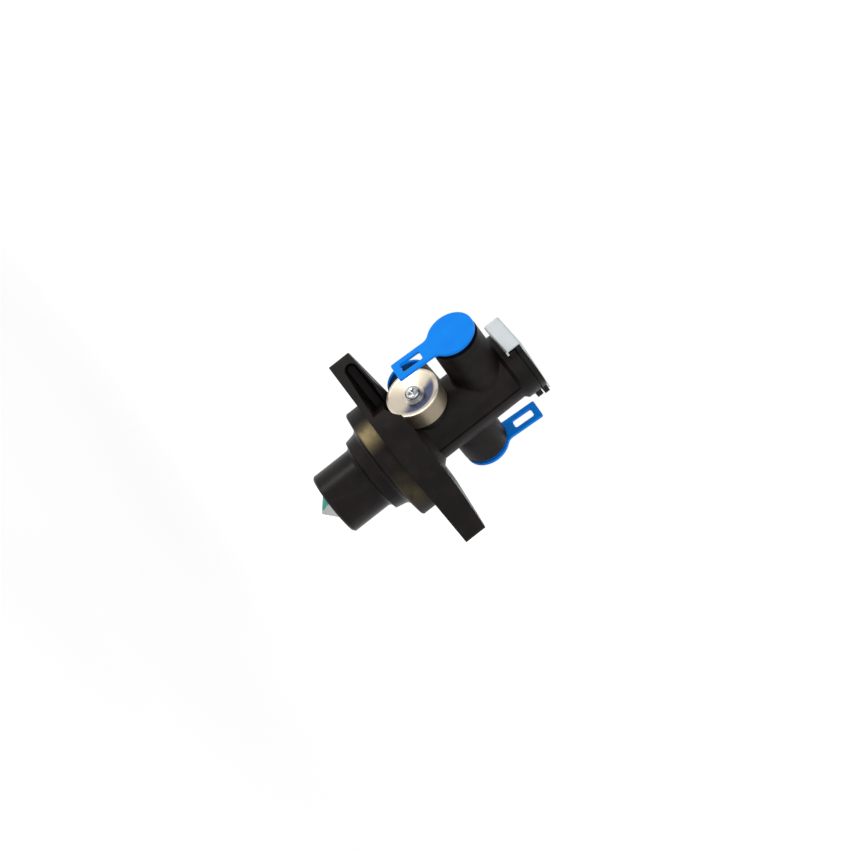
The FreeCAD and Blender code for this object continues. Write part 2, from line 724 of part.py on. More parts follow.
def build_cage():
    seal_middle = (d.stem_radius + d.running_clearance + d.cage_bore_radius - d.fit_clearance) / 2
    seal_radius = (d.cage_bore_radius - d.fit_clearance - d.stem_radius - d.running_clearance) / 2
    half = d.seal_section / 2
    o_ring("stem_seal", seal_middle, seal_radius, d.cage_floor + half)
    o_ring("vent_seal", seal_middle, seal_radius, vent_chamber_top + half)
    o_ring("supply_seal", seal_middle, seal_radius, delivery_top + half)
    spacer("vent_spacer", stem_seal_top, vent_chamber_top, stem_seal_top + d.vent_chamber / 2)
    spacer("delivery_spacer", vent_seal_top, delivery_top, port_2_height)
    spacer("supply_spacer", supply_seal_top, cover_seat_height, port_1_height)


def build_spool():
    foot_top = d.stem_height + d.spool_foot
    taper = d.stem_radius - d.spool_waist_radius
    turned_piece("spool", [
        (0, d.stem_height),
        (d.stem_radius, d.stem_height),
        (d.stem_radius, foot_top),
        (d.spool_waist_radius, foot_top + taper / 2),
        (d.spool_waist_radius, spool_waist_top - taper / 2),
        (d.stem_radius, spool_waist_top),
        (d.stem_radius, spool_height),
        (0, spool_height),
    ])
    turned_piece("spring_seat", [
        (0, spool_height),
        (d.spring_seat_radius, spool_height),
        (d.spring_seat_radius, spring_low),
        (d.spring_pilot_radius, spring_low),
        (d.spring_pilot_radius, spring_low + d.spring_pilot_length),
        (0, spring_low + d.spring_pilot_length),
    ])


def build_spring():
    """A round-wire compression spring between the spring seat and the roof of the cover."""
    wire = sheet.spring_wire_radius
    mean = sheet.spring_mean_radius
    low = spring_low.value + wire
    high = spring_high.value - wire
    pitch = (high - low) / sheet.spring_turns
    path = Part.makeHelix(pitch, high - low, mean)
    start = path.Edges[0].valueAt(path.Edges[0].FirstParameter)
    heading = path.Edges[0].tangentAt(path.Edges[0].FirstParameter)
    section = Part.Wire([Part.makeCircle(wire, start, heading)])
    spring = doc.addObject("Part::Feature", "return_spring")
    spring.Label = "return_spring"
    spring.Shape = Part.Wire(path.Edges).makePipeShell([section], True, True)
    spring.Placement = Placement(Vector(0, 0, low), Rotation())


def build_cover():
    """The moulded end cover, with a sealed spigot that holds the spring and clamps the cage."""
    body = new_body("end_cover")
    spigot = d.cover_bore_radius - d.running_clearance
    groove = d.cover_bore_radius - d.cover_seal_section
    groove_low = cover_seat_height + d.cover_seal_section * 2
    groove_high = groove_low + d.cover_seal_section + d.cover_seal_slack
    undercut_radius = d.end_flange_radius - d.cover_undercut_depth
    undercut_top = d.body_height + d.cover_undercut
    revolve(body, "turned", [
        (0, spring_high),
        (d.cover_pocket_radius, spring_high),
        (d.cover_pocket_radius, cover_seat_height),
        (spigot, cover_seat_height),
        (spigot, groove_low),
        (groove, groove_low),
        (groove, groove_high),
        (spigot, groove_high),
        (spigot, d.body_height),
        (undercut_radius, d.body_height),
        (undercut_radius, undercut_top),
        (d.end_flange_radius, undercut_top),
        (d.end_flange_radius, cover_top),
        (0, cover_top),
    ])
    lugs = new_sketch(body, "lugs_outline", "XY_Plane", undercut_top)
    draw_outline(lugs, rectangle(-d.lug_half_width, d.lug_half_width,
                                 -d.cover_lug_reach, d.cover_lug_reach))
    extrude(body, "lugs", lugs, d.cover_thickness - d.cover_undercut)
    o_ring("cover_seal", d.cover_bore_radius - d.cover_seal_section / 2,
           d.cover_seal_section / 2 - d.fit_clearance, (groove_low + groove_high) / 2)


def build_clip():
    """The sheet-metal clip that hooks the cover's lugs to the body's: a full-width leg and lip
    on the port 1 side, and a narrower tongue on the other."""
    body = new_body("retaining_clip")
    inner = d.cover_lug_reach + d.clip_gap
    outer = inner + d.clip_sheet
    web_top = cover_top + d.clip_sheet
    lip_top = lug_low - d.running_clearance
    lip_low = lip_top - d.clip_sheet
    lip_end = d.end_flange_radius + d.running_clearance
    profile = new_sketch(body, "profile", "YZ_Plane")
    draw_outline(profile, [
        (-lip_end, lip_low), (-outer, lip_low), (-outer, web_top), (outer, web_top),
        (outer, lip_low), (lip_end, lip_low), (lip_end, lip_top), (inner, lip_top),
        (inner, cover_top), (-inner, cover_top), (-inner, lip_top), (-lip_end, lip_top),
    ])
    extrude(body, "sheet", profile, d.clip_width, middle=True)
    dress(body, "bends", lambda edge: is_clip_bend(edge, outer, web_top, lip_low), d.clip_bend)
    half_tongue = d.clip_tongue_width / 2
    half_web = d.clip_width / 2 + 1
    for side, (near, far) in (("left", (-half_web, -half_tongue)), ("right", (half_tongue, half_web))):
        trim = new_sketch(body, f"{side}_trim", "XY_Plane", cover_top)
        draw_outline(trim, rectangle(near, far, d.end_flange_radius, outer + 1))
        extrude(body, f"{side}_trim_cut", trim, d.clip_sheet * 2, "PartDesign::Pocket", reverse=True)
        below = new_sketch(body, f"{side}_leg_trim", "XY_Plane", cover_top)
        draw_outline(below, rectangle(near, far, lip_end - 1, outer + 1))
        extrude(body, f"{side}_leg_cut", below, d.cover_thickness * 4, "PartDesign::Pocket")


def is_clip_bend(edge, outer, web_top, lip_low):
    """An outer corner of the folded sheet, which runs along X."""
    box = edge.BoundBox
    centre = edge.CenterOfMass
    along_x = box.XLength > d.clip_width.value - ROOT_TOLERANCE
    at_outside = abs(abs(centre.y) - outer.value) < ROOT_TOLERANCE
    at_corner = min(abs(centre.z - web_top.value), abs(centre.z - lip_low.value)) < ROOT_TOLERANCE
    return along_x and at_outside and at_corner


def build_vent():
    """The vent: a rubber flap, a felt ring, and a dished cover with its skirt, on one screw."""
    seat = d.vent_seat_reach
    flap_top = seat + d.flap_thickness
    bore = d.screw_radius + d.screw_clearance
    turned_piece("vent_flap", ring(bore, d.flap_radius, seat, flap_top), on_vent)
    turned_piece("vent_sleeve", ring(bore, d.sleeve_radius, flap_top, sleeve_top), on_vent)
    turned_piece("vent_filter", ring(d.sleeve_radius + d.fit_clearance, d.filter_radius,
                                     flap_top + d.filter_clearance, sleeve_top - d.fit_clearance),
                 on_vent)
    flat_radius = d.vent_disc_radius - d.vent_disc_rim
    turned_piece("vent_disc", [
        (bore, sleeve_top),
        (d.vent_disc_centre, sleeve_top),
        (flat_radius, disc_rim_low),
        (d.vent_disc_radius, disc_rim_low),
        (d.vent_disc_radius, disc_rim_low + d.vent_disc_sheet),
        (flat_radius, disc_rim_low + d.vent_disc_sheet),
        (d.vent_disc_centre, washer_low),
        (bore, washer_low),
    ], on_vent)
    turned_piece("vent_skirt", ring(skirt_bore, d.skirt_radius, skirt_low, disc_rim_low), on_vent)
    turned_piece("vent_washer", ring(bore, d.washer_radius, washer_low, head_low), on_vent)
    build_vent_screw()


def build_vent_screw():
    body = new_body("vent_screw")
    head_top = head_low + d.screw_head_height
    revolve(body, "turned", [
        (0, d.vent_seat_reach - d.screw_grip),
        (d.screw_radius - d.screw_lead_in, d.vent_seat_reach - d.screw_grip),
        (d.screw_radius, d.vent_seat_reach - d.screw_grip + d.screw_lead_in),
        (d.screw_radius, head_low),
        (d.screw_head_radius, head_low),
        (d.screw_head_radius, head_low + d.screw_head_height * 0.45),
        (d.screw_head_radius * 0.8, head_low + d.screw_head_height * 0.85),
        (d.screw_head_radius * 0.45, head_top),
        (0, head_top),
    ])
    recess = new_sketch(body, "recess_outline", "XY_Plane", head_top)
    half, thin = d.recess_length / 2, d.recess_width / 2
    draw_outline(recess, [
        (-half, -thin), (-thin, -thin), (-thin, -half), (thin, -half), (thin, -thin), (half, -thin),
        (half, thin), (thin, thin), (thin, half), (-thin, half), (-thin, thin), (-half, thin),
    ])
    extrude(body, "recess", recess, d.recess_depth, "PartDesign::Pocket")
    on_vent(body)


def build_cap(label, place):
    """A push-in port cap: hollow shank, seating collar, head and slotted pull tab along local X."""
    body = new_body(label)
    head_low = d.cap_collar_height
    head_top = head_low + d.cap_thickness
    shank = d.port_mouth_radius - d.cap_shank_clearance
    hollow = shank - d.cap_shank_wall
    revolve(body, "turned", [
        (0, 0),
        (hollow, 0),
        (hollow, -d.cap_shank_length),
        (shank - d.cap_lead_in, -d.cap_shank_length),
        (shank, -d.cap_shank_length + d.cap_lead_length),
        (shank, 0),
        (d.cap_collar_radius, 0),
        (d.cap_collar_radius, head_low),
        (d.cap_radius, head_low),
        (d.cap_radius, head_top),
        (0, head_top),
    ])
    tab = new_sketch(body, "tab_outline", "XY_Plane", head_low)
    draw_outline(tab, rectangle(d.cap_collar_radius, d.tab_reach, -d.tab_width / 2, d.tab_width / 2))
    extrude(body, "tab", tab, d.cap_thickness)
    dress(body, "neck", is_neck_edge, d.tab_neck_radius)
    slot = new_sketch(body, "slot_outline", "XY_Plane", head_low)
    draw_outline(slot, rectangle(d.tab_slot_centre - d.tab_slot_length / 2,
                                 d.tab_slot_centre + d.tab_slot_length / 2,
                                 -d.tab_slot_width / 2, d.tab_slot_width / 2))
    extrude(body, "slot", slot, d.cap_thickness * 2, "PartDesign::Pocket", reverse=True)
    dress(body, "tab_corners", is_tab_corner, d.tab_corner)
    place(body)


def upright(edge):
    box = edge.BoundBox
    return (box.XLength < ROOT_TOLERANCE and box.YLength < ROOT_TOLERANCE
            and abs(box.ZLength - d.cap_thickness.value) < ROOT_TOLERANCE)


def is_neck_edge(edge):
    """An upright edge where the tab runs into the round head."""
    centre = edge.CenterOfMass
    return (upright(edge) and abs(abs(centre.y) - d.tab_width.value / 2) < ROOT_TOLERANCE
            and centre.x < d.cap_radius.value)


def is_tab_corner(edge):
    """An upright edge at the end of the tab or in the corner of its slot."""
    centre = edge.CenterOfMass
    at_end = abs(centre.x - d.tab_reach.value) < ROOT_TOLERANCE
    slot_half = d.tab_slot_length.value / 2
    in_slot = (abs(abs(centre.x - d.tab_slot_centre.value) - slot_half) < ROOT_TOLERANCE
               and abs(abs(centre.y) - d.tab_slot_width.value / 2) < ROOT_TOLERANCE)
    return upright(edge) and (at_end or in_slot)


def on_port_1(body):
    turn = OUT_OF_PORT["front"].multiply(Rotation(Vector(0, 0, 1), -90 - d.cap_1_turn.value))
    body.Placement = Placement(Vector(0, -d.port_1_reach.value, port_1_height.value), turn)
    bind(body, "Placement.Base.y", -d.port_1_reach)
    bind(body, "Placement.Base.z", port_1_height)


def on_port_2(body):
    turn = OUT_OF_PORT["back"].multiply(Rotation(Vector(0, 0, 1), -90 + d.cap_2_turn.value))
    body.Placement = Placement(Vector(0, d.port_2_reach.value, port_2_height.value), turn)
    bind(body, "Placement.Base.y", d.port_2_reach)
    bind(body, "Placement.Base.z", port_2_height)


def on_port_3(body):
    turn = OUT_OF_PORT["left"].multiply(Rotation(Vector(0, 0, 1), 90))
    body.Placement = Placement(Vector(-d.port_3_reach.value, 0, d.port_3_height.value), turn)
    bind(body, "Placement.Base.x", -d.port_3_reach)
    bind(body, "Placement.Base.z", d.port_3_height)


build_housing()
build_plunger()
build_nose_parts()
build_cage()
build_spool()
build_spring()
build_cover()
build_clip()
build_vent()
build_cap("port_1_cap", on_port_1)
build_cap("port_2_cap", on_port_2)
build_cap("port_3_cap", on_port_3)

NODES = [
    "housing", "plunger", "plunger_bush", "wiper_seal", "nose_snap_ring", "stem_seal",
    "vent_spacer", "vent_seal", "delivery_spacer", "supply_seal", "supply_spacer", "spool",
    "spring_seat", "return_spring", "end_cover", "cover_seal", "retaining_clip", "vent_flap",
    "vent_sleeve", "vent_filter", "vent_disc", "vent_skirt", "vent_washer", "vent_screw",
    "port_1_cap", "port_2_cap", "port_3_cap",
]

doc.recompute()
for thing in doc.Objects:
    if "Invalid" in thing.State or "Error" in thing.State:
        raise RuntimeError(f"{thing.Name} is {thing.State}")
os.makedirs("parts", exist_ok=True)
for node in NODES:
    shape = doc.getObjectsByLabel(node)[0].Shape
    if shape.isNull() or not shape.isValid():
        raise RuntimeError(f"{node} has no valid shape")
    box = shape.BoundBox
    print(f"{node}: {len(shape.Solids)} solid, {shape.Volume:.1f} mm3, "
          f"X {box.XMin:.1f} {box.XMax:.1f}, Y {box.YMin:.1f} {box.YMax:.1f}, "
          f"Z {box.ZMin:.1f} {box.ZMax:.1f}")
    shape.exportStep(f"parts/{node}.step")
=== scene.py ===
# %% [markdown]
# Gearbox lock valve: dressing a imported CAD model
#
# The valve is a black-coated aluminium casting with a two-eared flange. Its turned nose and a
# pointed steel plunger reach into a gearbox. Three ports wear blue push-in caps, a dished metal
# cover hides the vent, and a zinc-plated clip holds the plastic end cover.
#
# The CAD model is loaded first and stays as it is. Every other step either gives a CAD part its
# finish or models a piece that needs softer edges than the CAD gives. Lengths are in metres,
# and MM turns a drawing's millimetres into them.

import math

import bmesh
import bpy
from mathutils import Matrix, Vector


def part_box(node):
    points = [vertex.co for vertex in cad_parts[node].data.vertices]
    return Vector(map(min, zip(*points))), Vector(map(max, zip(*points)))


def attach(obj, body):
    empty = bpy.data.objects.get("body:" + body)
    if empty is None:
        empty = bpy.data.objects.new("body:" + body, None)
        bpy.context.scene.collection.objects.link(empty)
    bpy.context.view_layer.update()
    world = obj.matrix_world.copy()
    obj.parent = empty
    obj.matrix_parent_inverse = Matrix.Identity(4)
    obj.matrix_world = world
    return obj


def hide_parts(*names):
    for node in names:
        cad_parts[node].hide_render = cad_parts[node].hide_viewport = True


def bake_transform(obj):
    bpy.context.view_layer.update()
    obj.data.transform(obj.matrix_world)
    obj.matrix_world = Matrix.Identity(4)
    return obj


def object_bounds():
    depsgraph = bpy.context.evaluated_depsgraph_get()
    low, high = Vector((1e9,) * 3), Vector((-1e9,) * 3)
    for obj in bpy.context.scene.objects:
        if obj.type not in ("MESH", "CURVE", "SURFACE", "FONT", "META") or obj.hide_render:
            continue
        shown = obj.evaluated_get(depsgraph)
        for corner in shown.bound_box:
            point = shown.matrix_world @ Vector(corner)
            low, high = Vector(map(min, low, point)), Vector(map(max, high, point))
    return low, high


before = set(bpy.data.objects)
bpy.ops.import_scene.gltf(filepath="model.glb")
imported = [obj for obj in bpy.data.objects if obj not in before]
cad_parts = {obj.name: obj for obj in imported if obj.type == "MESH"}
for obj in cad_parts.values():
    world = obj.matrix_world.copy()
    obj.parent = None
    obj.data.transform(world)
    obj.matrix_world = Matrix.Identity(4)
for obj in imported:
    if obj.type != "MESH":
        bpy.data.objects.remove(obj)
cad_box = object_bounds()
MM = 0.001
print("CAD parts:", len(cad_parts), "box in mm:",
      [[round(value / MM, 1) for value in corner] for corner in cad_box])

# %% [markdown]
# The camera stands where the photographer stood, beyond the +X and -Y sides, and is rolled so
# that the valve's axis climbs to the upper right of the picture. A camera could be aimed with a
# tracking constraint, but a measured turn is clearer as three directions: the picture's right,
# its up, and the direction back towards the viewer. They are the columns of a rotation.

# %% Camera
RIGHT = Vector((0.445, 0.430, 0.786)).normalized()
UP = Vector((-0.584, -0.526, 0.618))
UP = (UP - RIGHT * UP.dot(RIGHT)).normalized()
BACK = RIGHT.cross(UP)

eye = bpy.data.cameras.new("eye")
eye.lens = 58.9
eye.sensor_width = 36.0
eye.clip_start = 0.01
eye.clip_end = 50.0
camera = bpy.data.objects.new("camera", eye)
bpy.context.scene.collection.objects.link(camera)
turn = Matrix((RIGHT, UP, BACK)).transposed().to_4x4()
camera.matrix_world = Matrix.Translation((0.4715, -0.5126, 0.0316)) @ turn
bpy.context.scene.camera = camera
bpy.context.scene.view_settings.view_transform = "Standard"
print("camera looks along", [round(value, 3) for value in -BACK])

# %% [markdown]
# Shader maths reads best as arithmetic. A Signal wraps a socket, and adding or multiplying two
# of them adds the Math node that does it. The reflected forms let a plain number stand on the
# left, as in 1 - mask. A Finish is one material: its add method makes any other node from its
# type, its settings and its inputs.

# %% Signals and finishes
class Signal:
    """A number that varies over a surface."""

    def __init__(self, finish, socket):
        self.finish = finish
        self.socket = socket

    def math(self, operation, first, second=0.0):
        return self.finish.add("ShaderNodeMath", {"operation": operation}, {0: first, 1: second})

    def __add__(self, other):
        return self.math("ADD", self, other)

    def __sub__(self, other):
        return self.math("SUBTRACT", self, other)

    def __mul__(self, other):
        return self.math("MULTIPLY", self, other)

    def __truediv__(self, other):
        return self.math("DIVIDE", self, other)

    def __pow__(self, other):
        return self.math("POWER", self, other)

    def __gt__(self, other):
        return self.math("GREATER_THAN", self, other)

    def __lt__(self, other):
        return self.math("LESS_THAN", self, other)

    def __rsub__(self, other):
        return self.math("SUBTRACT", other, self)

    __radd__ = __add__
    __rmul__ = __mul__


class Finish:
    """One material, with its place signals taken from the object's own coordinates."""

    def __init__(self, name):
        self.material = bpy.data.materials.new(name)
        self.material.use_nodes = True
        self.tree = self.material.node_tree
        self.shader = self.tree.nodes["Principled BSDF"]
        self.place = self.add("ShaderNodeTexCoord", out="Object")

    def add(self, kind, settings=None, inputs=None, out=0):
        node = self.tree.nodes.new(kind)
        for name, value in (settings or {}).items():
            setattr(node, name, value)
        for name, value in (inputs or {}).items():
            self.feed(node.inputs[name], value)
        return Signal(self, node.outputs[out])

    def feed(self, socket, value):
        if isinstance(value, Signal):
            self.tree.links.new(value.socket, socket)
        else:
            socket.default_value = value

    def set(self, **sockets):
        for name, value in sockets.items():
            self.feed(self.shader.inputs[name.replace("_", " ")], value)

    def axes(self):
        split = self.add("ShaderNodeSeparateXYZ", None, {0: self.place}).socket.node
        return [Signal(self, output) for output in split.outputs]

    def grain(self, size, detail=2.0, vector=None):
        """Cloudy noise whose blobs are about this many metres across."""
        return self.add("ShaderNodeTexNoise", None,
                        {"Vector": vector or self.place, "Scale": 1 / size, "Detail": detail})

    def fade(self, value, low, high):
        """0 below low, 1 above high, and a smooth step between."""
        return self.add("ShaderNodeMapRange", {"interpolation_type": "SMOOTHSTEP"},
                        {"Value": value, "From Min": low, "From Max": high})

    def blend(self, mask, below, above):
        """One colour where the mask is 0 and another where it is 1."""
        colours = [c if isinstance(c, Signal) else (*c, 1.0) for c in (below, above)]
        return self.add("ShaderNodeMix", {"data_type": "RGBA"},
                        {0: mask, 6: colours[0], 7: colours[1]}, out=2)

    def relief(self, height, depth):
        """Dents and bumps this many metres deep."""
        self.set(Normal=self.add("ShaderNodeBump", None,
                                 {"Strength": 1.0, "Distance": depth, "Height": height}))


def dress(finish, *names):
    """Give CAD parts a finish."""
    for name in names:
        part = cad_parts[name]
        if not part.material_slots:
            part.data.materials.append(None)
        for slot in part.material_slots:
            slot.material = finish.material
    print(finish.material.name, "on", ", ".join(names))


# %% [markdown]
# The housing is cast, blasted and coated black all over, then turned where it meets the
# gearbox. One material does all of it, because the real part is one piece: the object's own
# coordinates say where the tool has been. The blasted grain is fine noise in the relief, and
# the turned nose has close rings instead.
#
# Over the locating collar, two patches of bare warm metal are a painted sheen. They stand at the
# two bearings where the highlights fall, not where the coating is worn. Each is a patch round a
# bearing, the angle about the valve's axis, and noise breaks up its edge.

# %% Housing: coated casting with turned seats
COLLAR_LOW, COLLAR_HIGH = -8.7 * MM, -0.3 * MM
COLLAR_INNER, COLLAR_OUTER = 30.4 * MM, 32.5 * MM
NOSE_TOP, NOSE_OUTER = -9.0 * MM, 24 * MM
# Bearings of the two patches of painted sheen on the collar, where the highlights fall
SHEEN_PATCHES = (  # bearing and reach in radians, strength
    (-1.36, 0.15, 0.85),
    (-0.16, 0.22, 0.26),
)

coated = Finish("coated_casting")
x, y, z = coated.axes()
radius = (x * x + y * y) ** 0.5
nose = (z < NOSE_TOP) * (radius < NOSE_OUTER)
collar = (z > COLLAR_LOW) * (z < COLLAR_HIGH)
collar = collar * (radius > COLLAR_INNER) * (radius < COLLAR_OUTER)
bearing = y.math("ARCTAN2", y, x)
sheen_mask = 0
for middle, reach, strength in SHEEN_PATCHES:
    off = bearing.math("ABSOLUTE", bearing - middle)
    sheen_mask = sheen_mask + strength * (1 - coated.fade(off, reach * 0.2, reach * 2.4))
cloud = coated.grain(9 * MM, 3.0)
speckle = coated.grain(0.45 * MM, 2.0)
# Bare warm metal on the collar, a painted sheen at the highlights' bearings
painted_sheen = collar * sheen_mask * coated.fade(cloud + 0.5 * speckle, 0.30, 0.85)
black = coated.blend(coated.fade(cloud, 0.35, 0.7), (0.0042, 0.0027, 0.0024),
                     (0.0105, 0.0074, 0.0066))
coated.set(
    Base_Color=coated.blend(painted_sheen, black, (0.22, 0.175, 0.090)),
    Metallic=painted_sheen * 0.8,
    Roughness=0.44 + 0.12 * speckle - 0.16 * nose - 0.04 * painted_sheen,
    Specular_IOR_Level=0.13,
)
rings = coated.grain(0.28 * MM, 1.0, coated.add(
    "ShaderNodeCombineXYZ", None, {"X": 0.0, "Y": 0.0, "Z": z}))
turned = nose + collar
coated.relief(speckle * (1 - 0.8 * turned) + rings * 0.5 * turned, 0.05 * MM)
dress(coated, "housing")

# %% [markdown]
# The plunger is ground steel. Its point carries a dab of green paint from the works, on the
# side between ports 1 and 3. A paint dab has a hard but ragged edge, so noise is added to the
# position before the step.

# %% Plunger: ground steel with a dab of paint
PAINT_TOP, PAINT_EDGE, PAINT_RAG = -41.5 * MM, 1.0 * MM, 3.0 * MM

steel = Finish("ground_steel")
x, y, z = steel.axes()
wobble = steel.grain(1.1 * MM, 2.0)
side = -0.80 * x - 0.60 * y + (wobble - 0.5) * PAINT_RAG
painted = steel.fade(side, PAINT_EDGE, PAINT_EDGE + 0.3 * MM) * (z < PAINT_TOP)
scratch = steel.grain(0.3 * MM, 1.0)
steel.set(
    Base_Color=steel.blend(painted, steel.blend(wobble, (0.40, 0.41, 0.41), (0.55, 0.55, 0.55)),
                           (0.015, 0.30, 0.25)),
    Metallic=0.85 * (1 - painted),
    Roughness=0.30 + 0.12 * scratch + 0.10 * painted,
)
steel.relief(scratch + 1.5 * painted, 0.012 * MM)
dress(steel, "plunger", "nose_snap_ring")

# %% [markdown]
# The end cover is moulded in black plastic with a faint green cast. Moulded faces are a little
# uneven, with a satin grain from the mould. The clip over it is zinc-plated sheet: pale, nearly
# matt, with large soft blotches where the plating crystallised.

# %% End cover and clip
plastic = Finish("moulded_black_plastic")
skin = plastic.grain(0.35 * MM, 2.0)
tone = plastic.grain(6 * MM)
plastic.set(
    Base_Color=plastic.blend(tone, (0.0045, 0.0055, 0.0048), (0.0095, 0.0110, 0.0098)),
    Roughness=0.44 + 0.12 * skin,
    Specular_IOR_Level=0.12,
)
plastic.relief(skin, 0.03 * MM)
dress(plastic, "end_cover", "vent_spacer", "delivery_spacer", "supply_spacer")

zinc = Finish("zinc_plated_sheet")
crystal = zinc.grain(4 * MM, 3.0)
rolled = zinc.grain(0.25 * MM, 1.0)
zinc.set(
    Base_Color=zinc.blend(crystal, (0.53, 0.57, 0.585), (0.63, 0.665, 0.68)),
    Metallic=0.45,
    Roughness=0.40 + 0.14 * crystal,
)
zinc.relief(rolled, 0.01 * MM)
dress(zinc, "retaining_clip")

# %% [markdown]
# The parts inside are seen only through an open port or a cut, but they are finished too:
# rubber for the rings, turned bronze and aluminium, drawn steel for the spring, and felt for the
# vent's filter. The two turned metals differ in colour alone, so one function makes both.

# %% Inner parts
rubber = Finish("black_rubber")
bloom = rubber.grain(2 * MM, 3.0)
rubber.set(Base_Color=rubber.blend(bloom, (0.010, 0.010, 0.010), (0.026, 0.026, 0.027)),
           Roughness=0.62 + 0.15 * bloom)
rubber.relief(bloom, 0.02 * MM)
dress(rubber, "wiper_seal", "stem_seal", "vent_seal", "supply_seal", "cover_seal", "vent_flap")


def turned_metal(name, dark, light, patch, roughness):
    """Metal with the fine rings that a lathe leaves across Z."""
    metal = Finish(name)
    height = metal.axes()[2]
    ridges = metal.grain(0.3 * MM, 1.0, metal.add("ShaderNodeCombineXYZ", None, {"Z": height}))
    metal.set(Base_Color=metal.blend(metal.grain(patch), dark, light), Metallic=0.95,
              Roughness=roughness + 0.15 * ridges)
    metal.relief(ridges, 0.02 * MM)
    return metal


bronze = turned_metal("turned_bronze", (0.50, 0.33, 0.15), (0.66, 0.47, 0.26), 3 * MM, 0.30)
dress(bronze, "plunger_bush")
alloy = turned_metal("turned_aluminium", (0.66, 0.66, 0.67), (0.78, 0.78, 0.79), 4 * MM, 0.28)
dress(alloy, "spool", "spring_seat", "vent_sleeve")

wire = Finish("spring_wire")
drawn = wire.grain(0.5 * MM, 2.0)
wire.set(Base_Color=wire.blend(drawn, (0.36, 0.37, 0.38), (0.52, 0.53, 0.54)), Metallic=0.95,
         Roughness=0.28 + 0.2 * drawn)
print(wire.material.name, "waits for the spring, which is modelled below")

felt = Finish("pressed_felt")
fibre = felt.grain(0.4 * MM, 4.0)
felt.set(Base_Color=felt.blend(fibre, (0.40, 0.38, 0.33), (0.62, 0.60, 0.54)), Roughness=0.95)
felt.relief(fibre, 0.15 * MM)
dress(felt, "vent_filter")

# %% [markdown]
# New pieces are modelled as by hand: a primitive, then edit-mode operators on faces or edges
# that are picked by their place. These helpers keep that short. Everything is deselected first,
# because an operator acts on whatever is selected.
#
# A piece is drawn upright on the Z axis in its own millimetres, where the drawing is easiest to
# read. Only when it is done does seat turn and move it to its place on the valve.

# %% Modelling helpers
def only(piece):
    """Make this the one selected and active object."""
    for other in bpy.context.selected_objects:
        other.select_set(False)
    piece.select_set(True)
    bpy.context.view_layer.objects.active = piece


def pick(piece, kind, rule):
    """In edit mode, select just the faces or edges that the rule accepts."""
    bpy.ops.mesh.select_mode(type=kind)
    bpy.ops.mesh.select_all(action="DESELECT")
    shape = bmesh.from_edit_mesh(piece.data)
    parts = shape.faces if kind == "FACE" else shape.edges
    chosen = [part for part in parts if rule(part)]
    for part in chosen:
        part.select_set(True)
    shape.select_flush_mode()
    bmesh.update_edit_mesh(piece.data)
    return len(chosen)


def new_cylinder(name, radius, low, high, sides=96, centre=(0, 0)):
    """A closed cylinder along Z, in millimetres."""
    bpy.ops.mesh.primitive_cylinder_add(
        vertices=sides, radius=radius * MM, depth=(high - low) * MM,
        location=(centre[0] * MM, centre[1] * MM, (low + high) / 2 * MM))
    return named(name)


def new_block(name, x_low, x_high, half_width, low, high):
    """A closed box, centred on Y, in millimetres."""
    bpy.ops.mesh.primitive_cube_add(
        size=1, location=((x_low + x_high) / 2 * MM, 0, (low + high) / 2 * MM),
        scale=((x_high - x_low) * MM, 2 * half_width * MM, (high - low) * MM))
    return named(name)


def named(name):
    """Name the object just added, and put its place and size into its mesh."""
    piece = bpy.context.active_object
    piece.name = name
    piece.data.name = name
    only(piece)
    bpy.ops.object.transform_apply(location=True, rotation=True, scale=True)
    return piece


def apply_modifier(piece, kind, **settings):
    """Run one modifier and keep its result as plain mesh."""
    only(piece)
    modifier = piece.modifiers.new("step", kind)
    for name, value in settings.items():
        setattr(modifier, name, value)
    bpy.ops.object.modifier_apply(modifier="step")


def combine(piece, other, operation):
    """Add another piece to this one, or cut it away, and throw the other piece away."""
    apply_modifier(piece, "BOOLEAN", operation=operation, object=other, solver="EXACT")
    bpy.data.objects.remove(other)


def at_height(face, height):
    return abs(face.calc_center_median().z - height * MM) < 0.05 * MM


def facing(direction, height=None):
    """A rule for faces that look this way, at this height in millimetres if one is given."""
    def rule(face):
        level = height is None or at_height(face, height)
        return level and face.normal.dot(Vector(direction)) > 0.99
    return rule


def triangles(piece):
    return sum(len(polygon.vertices) - 2 for polygon in piece.data.polygons)


def seat(piece, body, outward, tab, origin, finish):
    """Move a piece drawn on Z to its place, give it its finish and let it ride on a body."""
    up = Vector(outward).normalized()
    along = Vector(tab).normalized()
    place = Matrix((along, up.cross(along), up)).transposed().to_4x4()
    piece.data.transform(Matrix.Translation(Vector(origin) * MM) @ place)
    piece.data.update()
    piece.data.materials.clear()
    piece.data.materials.append(finish.material)
    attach(piece, body)
    return piece


# %% [markdown]
# The blue caps are soft injection-moulded polyethylene, pushed into each port for transport.
# One is modelled, on the Z axis with its pull tab along X, and copied to the three ports. The
# plug part is a cylinder whose lower face is inset and extruded, down for the shank's wall and
# back up for its hollow. The head and tab are joined by booleans, because the neck's two
# hollows are simply two round cutters. A small bevel then rounds every edge as a mould does,
# and the Weighted Normal modifier keeps the flat faces flat to the light.

# %% Port cap: plug
CAP_RADIUS, CAP_COLLAR, CAP_SHANK = 12.3, 10.0, 8.46
HEAD_LOW, HEAD_HIGH = 2.4, 4.0
SHANK_LENGTH, LEAD_IN, CAP_WALL, OVERLAP = 5.4, 0.4, 1.0, 0.4

